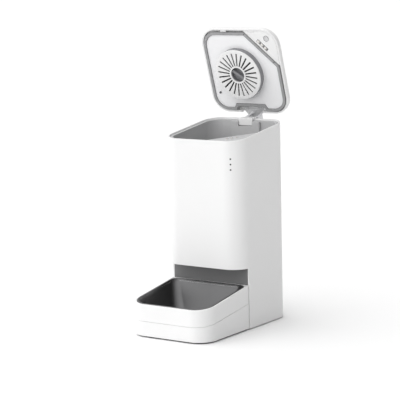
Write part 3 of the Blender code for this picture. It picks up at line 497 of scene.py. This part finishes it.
class FEEDER_OT_lights(bpy.types.Operator):
    """Build the three domed status lights in the shell's front corner, each in a dark bezel"""

    bl_idname = "feeder.lights"
    bl_label = "Status lights"

    def execute(self, context):
        for i in range(1, 4):
            refined(f"indicator_light_{i}", f"status_light_{i}", 0.25 * MM, "light_lens")
            self.bezel(context.scene.pet_feeder.edges, i)
        return {"FINISHED"}

    def bezel(self, edges, number):
        """A thin ring that lies on the rounded corner round the lens."""
        low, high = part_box("outer_shell")
        centre = middle(f"indicator_light_{number}")
        radius = edges.corner
        turn = math.asin((centre.x - high.x + radius) / radius)
        normal = Vector((math.sin(turn), -math.cos(turn), 0))
        axis = Vector((high.x - radius, low.y + radius, centre.z))
        foot, top = 0.05 * MM, 0.22 * MM
        hole, rim = 0.7 * MM, edges.bezel
        rings = [
            ring_of(arc(0, 0, size, 0, 345, 23), height)
            for size, height in ((hole, foot), (hole, top), (rim, top), (rim, foot))
        ]
        turned = normal.to_track_quat("Z", "Y").to_matrix().to_4x4()
        place = Matrix.Translation(axis + normal * radius) @ turned
        piece = skin(f"light_bezel_{number}", rings, closed=True, matrix=place)
        piece.data.shade_smooth()
        settle(piece, "tower", "light_lens", "light_lens")


class FEEDER_OT_hopper(bpy.types.Operator):
    """Build the food hopper, its channel cover and the deck with the contacts"""

    bl_idname = "feeder.hopper"
    bl_label = "Hopper"

    def execute(self, context):
        edges = context.scene.pet_feeder.edges
        refined("hopper", "food_hopper", edges.fine, "grey_plastic")
        refined("channel_cover", "wiring_cover", edges.shell, "grey_plastic")
        refined("corner_deck", "contact_deck", edges.fine, "grey_plastic")
        for i in range(1, 4):
            refined(f"deck_contact_{i}", f"deck_pin_{i}", edges.fine, "contact_metal")
        return {"FINISHED"}


class FEEDER_OT_works(bpy.types.Operator):
    """Finish the metering rotor, motor, chute and boards"""

    bl_idname = "feeder.works"
    bl_label = "Works"

    def execute(self, context):
        edges = context.scene.pet_feeder.edges
        refined("rotor", "metering_rotor", edges.fine, "inner_plastic", "dark_plastic")
        refined("stirrer", "food_stirrer", edges.fine, "inner_plastic")
        refined("metering_well", "rotor_well", edges.fine, "inner_plastic")
        refined("outlet_chute", "food_chute", edges.fine, "inner_plastic")
        refined("gear_motor", "drive_motor", edges.fine, "bright_steel")
        recoat("bright_steel", "rotor_shaft")
        recoat("circuit_board", "main_board", "indicator_board")
        return {"FINISHED"}


class FEEDER_OT_hinge(bpy.types.Operator):
    """Build the bracket over the rim and the lid's plated leaf"""

    bl_idname = "feeder.hinge"
    bl_label = "Hinge"

    def execute(self, context):
        edges = context.scene.pet_feeder.edges
        refined("hinge_base", "hinge_bracket", edges.fine, "white_plastic")
        refined("hinge_arm", "hinge_leaf", edges.fine, "bright_steel")
        refined("arm_plate", "leaf_clamp", edges.sheet, "bright_steel")
        recoat("bright_steel", "hinge_pin", "arm_screw_1", "arm_screw_2")
        return {"FINISHED"}


class FEEDER_OT_lid(bpy.types.Operator):
    """Build the lid's cover, inner plate, catches and button"""

    bl_idname = "feeder.lid"
    bl_label = "Lid"

    def execute(self, context):
        edges = context.scene.pet_feeder.edges
        refined("lid_cover", "lid_shell", edges.lid, "white_plastic")
        refined("lid_liner", "lid_plate", edges.lid, "pale_plastic")
        refined("corner_panel", "corner_plate", edges.fine, "white_plastic")
        refined("catch_left", "left_catch", edges.fine, "white_plastic")
        refined("catch_right", "right_catch", edges.fine, "white_plastic")
        refined("feed_button", "button_cap", edges.fine, "white_plastic")
        recoat("dark_plastic", "button_switch")
        recoat("bright_steel", "corner_screw")
        return {"FINISHED"}


class FEEDER_OT_seal(bpy.types.Operator):
    """Build the grooved silicone seal round the lid's plate"""

    bl_idname = "feeder.seal"
    bl_label = "Seal"

    def execute(self, context):
        refined("lid_seal", "seal_ring", 0.4 * MM, "grey_rubber")
        return {"FINISHED"}


class FEEDER_OT_contacts(bpy.types.Operator):
    """Build the three contact fingers, the ring round the corner screw and the lid's dark plugs"""

    bl_idname = "feeder.contacts"
    bl_label = "Lid contacts"

    def execute(self, context):
        lid = LidFrame()
        sizes = context.scene.pet_feeder.lid
        for i in range(1, 4):
            self.finger(lid, sizes, i)
        self.boss(lid, sizes)
        self.marks(lid, sizes)
        return {"FINISHED"}

    def finger(self, lid, sizes, number):
        """A strip of contact metal that rises from the plate, bends over and dips back."""
        node = f"lid_contact_{number}"
        centre = lid.local(middle(node))
        turn = Matrix.Rotation(math.radians(-45), 4, "Z")
        steps = 16
        half = sizes.finger_width / 2
        thick = 0.25 * MM
        rings = []
        for step in range(steps + 1):
            share = step / steps
            along = (share - 0.5) * sizes.finger_length
            height = -sizes.finger_lift * math.sin(math.pi * min(share * 1.15, 1)) ** 0.8
            rings.append(
                [
                    Vector((half, along, height)),
                    Vector((half, along, height + thick)),
                    Vector((-half, along, height + thick)),
                    Vector((-half, along, height)),
                ]
            )
        place = lid.matrix @ Matrix.Translation((centre.x, centre.y, 0)) @ turn
        piece = round_edges(skin(f"contact_finger_{number}", rings, matrix=place), 0.08 * MM)
        settle(piece, "lid", "contact_metal", "contact_metal", node)
        self.slot(sizes, number, place)

    def slot(self, sizes, number, place):
        """A dark slot that a finger lies in, a little wider and longer than the finger; its dark colour is
        painted shade, the shadow in the gap round the finger.
        """
        half = sizes.finger_width / 2 + sizes.slot_side
        end = sizes.finger_length / 2 + sizes.slot_end
        outline = rounded(-half, half, -end, end, sizes.slot_corner, sizes.slot_corner, 4)
        rings = [ring_of(outline, height) for height in (-0.12 * MM, 0.4 * MM)]
        piece = skin(f"finger_gap_shade_{number}", rings, matrix=place)
        # dark_plastic here is painted shade: the dark outline round each contact finger.
        settle(piece, "lid", "dark_plastic", "dark_plastic")

    def boss(self, lid, sizes):
        """A low ring round the screw in the corner plate."""
        centre = lid.local(middle("corner_screw"))
        outer, inner = sizes.boss_radius, sizes.boss_radius - sizes.boss_wall
        top, foot = -0.7 * MM, -0.02 * MM
        rings = [
            ring_of(arc(0, 0, radius, 0, 352.5, 47), height)
            for radius, height in ((inner, foot), (inner, top), (outer, top), (outer, foot))
        ]
        place = lid.matrix @ Matrix.Translation((centre.x, centre.y, 0))
        piece = round_edges(skin("screw_ring", rings, closed=True, matrix=place), 0.2 * MM)
        settle(piece, "lid", "grey_plastic", "box_plastic")

    def marks(self, lid, sizes):
        """Dark plugs: one by the desiccant box and one at each end of the seal's diagonal."""
        box = lid.local(middle("desiccant_grille"))
        screw = lid.local(middle("corner_screw"))
        places = {
            "lock_mark": (box.x - sizes.mark_across, box.y + sizes.mark_along, sizes.mark_radius),
            "front_plug": (screw.x - sizes.plug_far, screw.y - sizes.plug_near, sizes.plug_radius),
            "side_plug": (screw.x + sizes.plug_near, screw.y + sizes.plug_far, sizes.plug_radius),
        }
        for name, (x, y, radius) in places.items():
            outline = arc(x, y, radius, 0, 345, 23)
            rings = [ring_of(outline, height) for height in (-sizes.plug_proud, 0.5 * MM)]
            piece = round_edges(skin(name, rings, matrix=lid.matrix), 0.2 * MM)
            settle(piece, "lid", "dark_rubber", "dark_rubber")


class FEEDER_OT_desiccant(bpy.types.Operator):
    """Build the desiccant box: cup, slotted grille, finger grip and the bag behind the slots"""

    bl_idname = "feeder.desiccant"
    bl_label = "Desiccant box"

    def execute(self, context):
        edges = context.scene.pet_feeder.edges
        # box_plastic is partly painted shade: its grey is darkened for the shaded rim of the cup.
        refined("desiccant_cup", "box_cup", edges.fine, "box_plastic", "grey_plastic")
        refined("desiccant_grille", "box_grille", edges.fine, "white_plastic")
        refined("grip_bar", "box_grip", edges.fine, "grip_plastic")
        self.bag()
        return {"FINISHED"}

    def bag(self):
        """A quilted ring of drying agent in the cup; its near-black colour is painted shade, the dark seen
        behind the slots.
        """
        lid = LidFrame()
        centre = lid.local(middle("desiccant_grille"))
        inner, outer = 18.5 * MM, 44.5 * MM
        roof, floor = -3.4 * MM, -9.2 * MM
        steps, across = 96, 10
        rings = []
        for row in range(across + 1):
            share = row / across
            radius = inner + (outer - inner) * share
            swell = math.sin(math.pi * share) ** 0.5
            ring = []
            for step in range(steps):
                angle = math.tau * step / steps
                quilt = 0.25 * MM * math.sin(12 * angle) * swell
                height = roof + (floor - roof) * (0.35 + 0.65 * swell) + quilt
                ring.append(Vector((radius * math.cos(angle), radius * math.sin(angle), height)))
            rings.append(ring)
        for radius in (outer, inner):
            rings.append(ring_of(arc(0, 0, radius, 0, 360 - 360 / steps, steps - 1), roof))
        place = lid.matrix @ Matrix.Translation((centre.x, centre.y, 0))
        piece = skin("drying_bag", rings[::-1], closed=True, matrix=place)
        piece.data.shade_smooth()
        settle(piece, "desiccant_box", "grey_plastic", "drying_agent_slot_shade")


class FEEDER_OT_stand(bpy.types.Operator):
    """Build the stand's upper and lower mouldings and its rubber pad, whose dark colour is partly painted
    shadow under the stand
    """

    bl_idname = "feeder.stand"
    bl_label = "Stand"

    def execute(self, context):
        edges = context.scene.pet_feeder.edges
        refined("stand_tray", "stand_upper", edges.shell, "white_plastic")
        refined("stand_base", "stand_lower", edges.shell, "white_plastic")
        # The pad's dark rubber is partly painted shadow: the dark line under the stand.
        refined("stand_pad", "stand_pad_shadow", edges.fine, "dark_rubber")
        return {"FINISHED"}


class FEEDER_OT_bowl(bpy.types.Operator):
    """Build the deep-drawn steel bowl with its flat lip and soft walls"""

    bl_idname = "feeder.bowl"
    bl_label = "Bowl"

    def execute(self, context):
        sizes = context.scene.pet_feeder.bowl
        low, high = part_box("bowl")
        stand_low, stand_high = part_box("stand_tray")
        steps = 36

        def rim(y):
            share = (y - stand_low.y) / (stand_high.y - stand_low.y)
            return sizes.front_height + (sizes.back_height - sizes.front_height) * share

        def outline(inset):
            back = sizes.back_radius + inset * 0.25
            front = sizes.front_radius - inset * 0.15
            return rounded(low.x + inset, high.x - inset, low.y + inset, high.y - inset, back, front)

        def wall(share):
            sink = math.sin(share * math.pi / 2) ** 1.2

            def height(y):
                start = rim(y) - sizes.shelf
                return start + (low.z - start) * sink

            return height

        outer, inner = [], []
        for step in range(steps + 1):
            share = step / steps
            inset = sizes.lip + (sizes.floor_inset - sizes.lip) * share
            height = wall(share)
            outer.append(ring_of(outline(inset), height))
            inner.append(ring_of(outline(inset + sizes.sheet), lambda y, h=height: h(y) + sizes.sheet))
        lip = [
            ring_of(outline(0.4 * MM), lambda y: rim(y) - sizes.shelf),
            ring_of(outline(0), lambda y: rim(y) - sizes.shelf / 2),
            ring_of(outline(0.2 * MM), lambda y: rim(y) + sizes.proud * 0.6),
            ring_of(outline(0.9 * MM), lambda y: rim(y) + sizes.proud),
            ring_of(outline(sizes.lip * 0.8), lambda y: rim(y) + sizes.proud * 0.8),
            ring_of(outline(sizes.lip), lambda y: rim(y) - sizes.shelf * 0.1),
        ]
        piece = skin("steel_bowl", outer[::-1] + lip + inner[1:])
        piece.data.shade_smooth()
        settle(piece, "bowl", "dark_steel", "dark_steel", "bowl")
        return {"FINISHED"}


class FEEDER_OT_studio(bpy.types.Operator):
    """Build the pale floor, the soft room light and the camera"""

    bl_idname = "feeder.studio"
    bl_label = "Studio"

    def execute(self, context):
        studio = context.scene.pet_feeder.studio
        self.floor(studio)
        self.room_light(context, studio)
        self.camera(context, studio)
        return {"FINISHED"}

    def floor(self, studio):
        half = 40.0
        mesh = bpy.data.meshes.new("studio_floor")
        corners = [(-half, -half, 0), (half, -half, 0), (half, half, 0), (-half, half, 0)]
        mesh.from_pydata(corners, [], [(0, 1, 2, 3)])
        mesh.materials.append(floor_paper("floor_paper", studio.floor))
        floor = bpy.data.objects.new("studio_floor", mesh)
        bpy.context.scene.collection.objects.link(floor)

    def room_light(self, context, studio):
        """A room that is brighter above and on the left of the feeder's front."""
        world = bpy.data.worlds.new("studio_room")
        context.scene.world = world
        world.use_nodes = True
        tree = world.node_tree
        background = tree.nodes["Background"]
        background.inputs["Color"].default_value = (1, 1, 1, 1)
        place = tree.nodes.new("ShaderNodeTexCoord")
        aim = tree.nodes.new("ShaderNodeVectorMath")
        aim.operation = "DOT_PRODUCT"
        aim.inputs[1].default_value = Vector((-0.52, -0.50, 0.69)).normalized()
        span = tree.nodes.new("ShaderNodeMapRange")
        span.interpolation_type = "SMOOTHSTEP"
        span.inputs["From Min"].default_value = -0.25
        span.inputs["From Max"].default_value = 0.95
        span.inputs["To Min"].default_value = studio.shade
        span.inputs["To Max"].default_value = studio.light
        tree.links.new(place.outputs["Generated"], aim.inputs[0])
        tree.links.new(aim.outputs["Value"], span.inputs["Value"])
        tree.links.new(span.outputs["Result"], background.inputs["Strength"])

    def camera(self, context, studio):
        front_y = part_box("outer_shell")[0].y
        centre = Vector((0, front_y, 0.16))
        climb = math.cos(studio.elevation)
        outward = Vector(
            (math.sin(studio.azimuth) * climb, -math.cos(studio.azimuth) * climb, math.sin(studio.elevation))
        )
        data = bpy.data.cameras.new("studio_camera")
        data.lens = studio.lens
        data.sensor_width = 36
        data.clip_end = 200
        camera = bpy.data.objects.new("studio_camera", data)
        bpy.context.scene.collection.objects.link(camera)
        pitch = math.pi / 2 - studio.elevation + studio.tilt
        turn = (
            Matrix.Rotation(studio.azimuth, 4, "Z")
            @ Matrix.Rotation(pitch, 4, "X")
            @ Matrix.Rotation(studio.roll, 4, "Z")
        )
        camera.matrix_world = Matrix.Translation(centre + outward * studio.distance) @ turn
        context.scene.camera = camera
        context.scene.view_settings.view_transform = "Standard"


class FEEDER_PT_panel(bpy.types.Panel):
    """Lists the feeder's operators in the sidebar."""

    bl_label = "Pet feeder"
    bl_idname = "FEEDER_PT_panel"
    bl_space_type = "VIEW_3D"
    bl_region_type = "UI"
    bl_category = "Pet feeder"

    def draw(self, context):
        for operator in OPERATORS:
            self.layout.operator(operator.bl_idname)


OPERATORS = (
    FEEDER_OT_tower,
    FEEDER_OT_lights,
    FEEDER_OT_hopper,
    FEEDER_OT_works,
    FEEDER_OT_hinge,
    FEEDER_OT_lid,
    FEEDER_OT_seal,
    FEEDER_OT_contacts,
    FEEDER_OT_desiccant,
    FEEDER_OT_stand,
    FEEDER_OT_bowl,
    FEEDER_OT_studio,
)
GROUPS = (FeederFinishes, FeederEdges, FeederLid, FeederBowl, FeederStudio, FeederSettings)


def register():
    for kind in (*GROUPS, *OPERATORS, FEEDER_PT_panel):
        bpy.utils.register_class(kind)
    bpy.types.Scene.pet_feeder = PointerProperty(type=FeederSettings)


def unregister():
    del bpy.types.Scene.pet_feeder
    for kind in reversed((*GROUPS, *OPERATORS, FEEDER_PT_panel)):
        bpy.utils.unregister_class(kind)


def main():
    register()
    for operator in OPERATORS:
        group, name = operator.bl_idname.split(".")
        getattr(getattr(bpy.ops, group), name)()


if __name__ == "__main__":
    main()
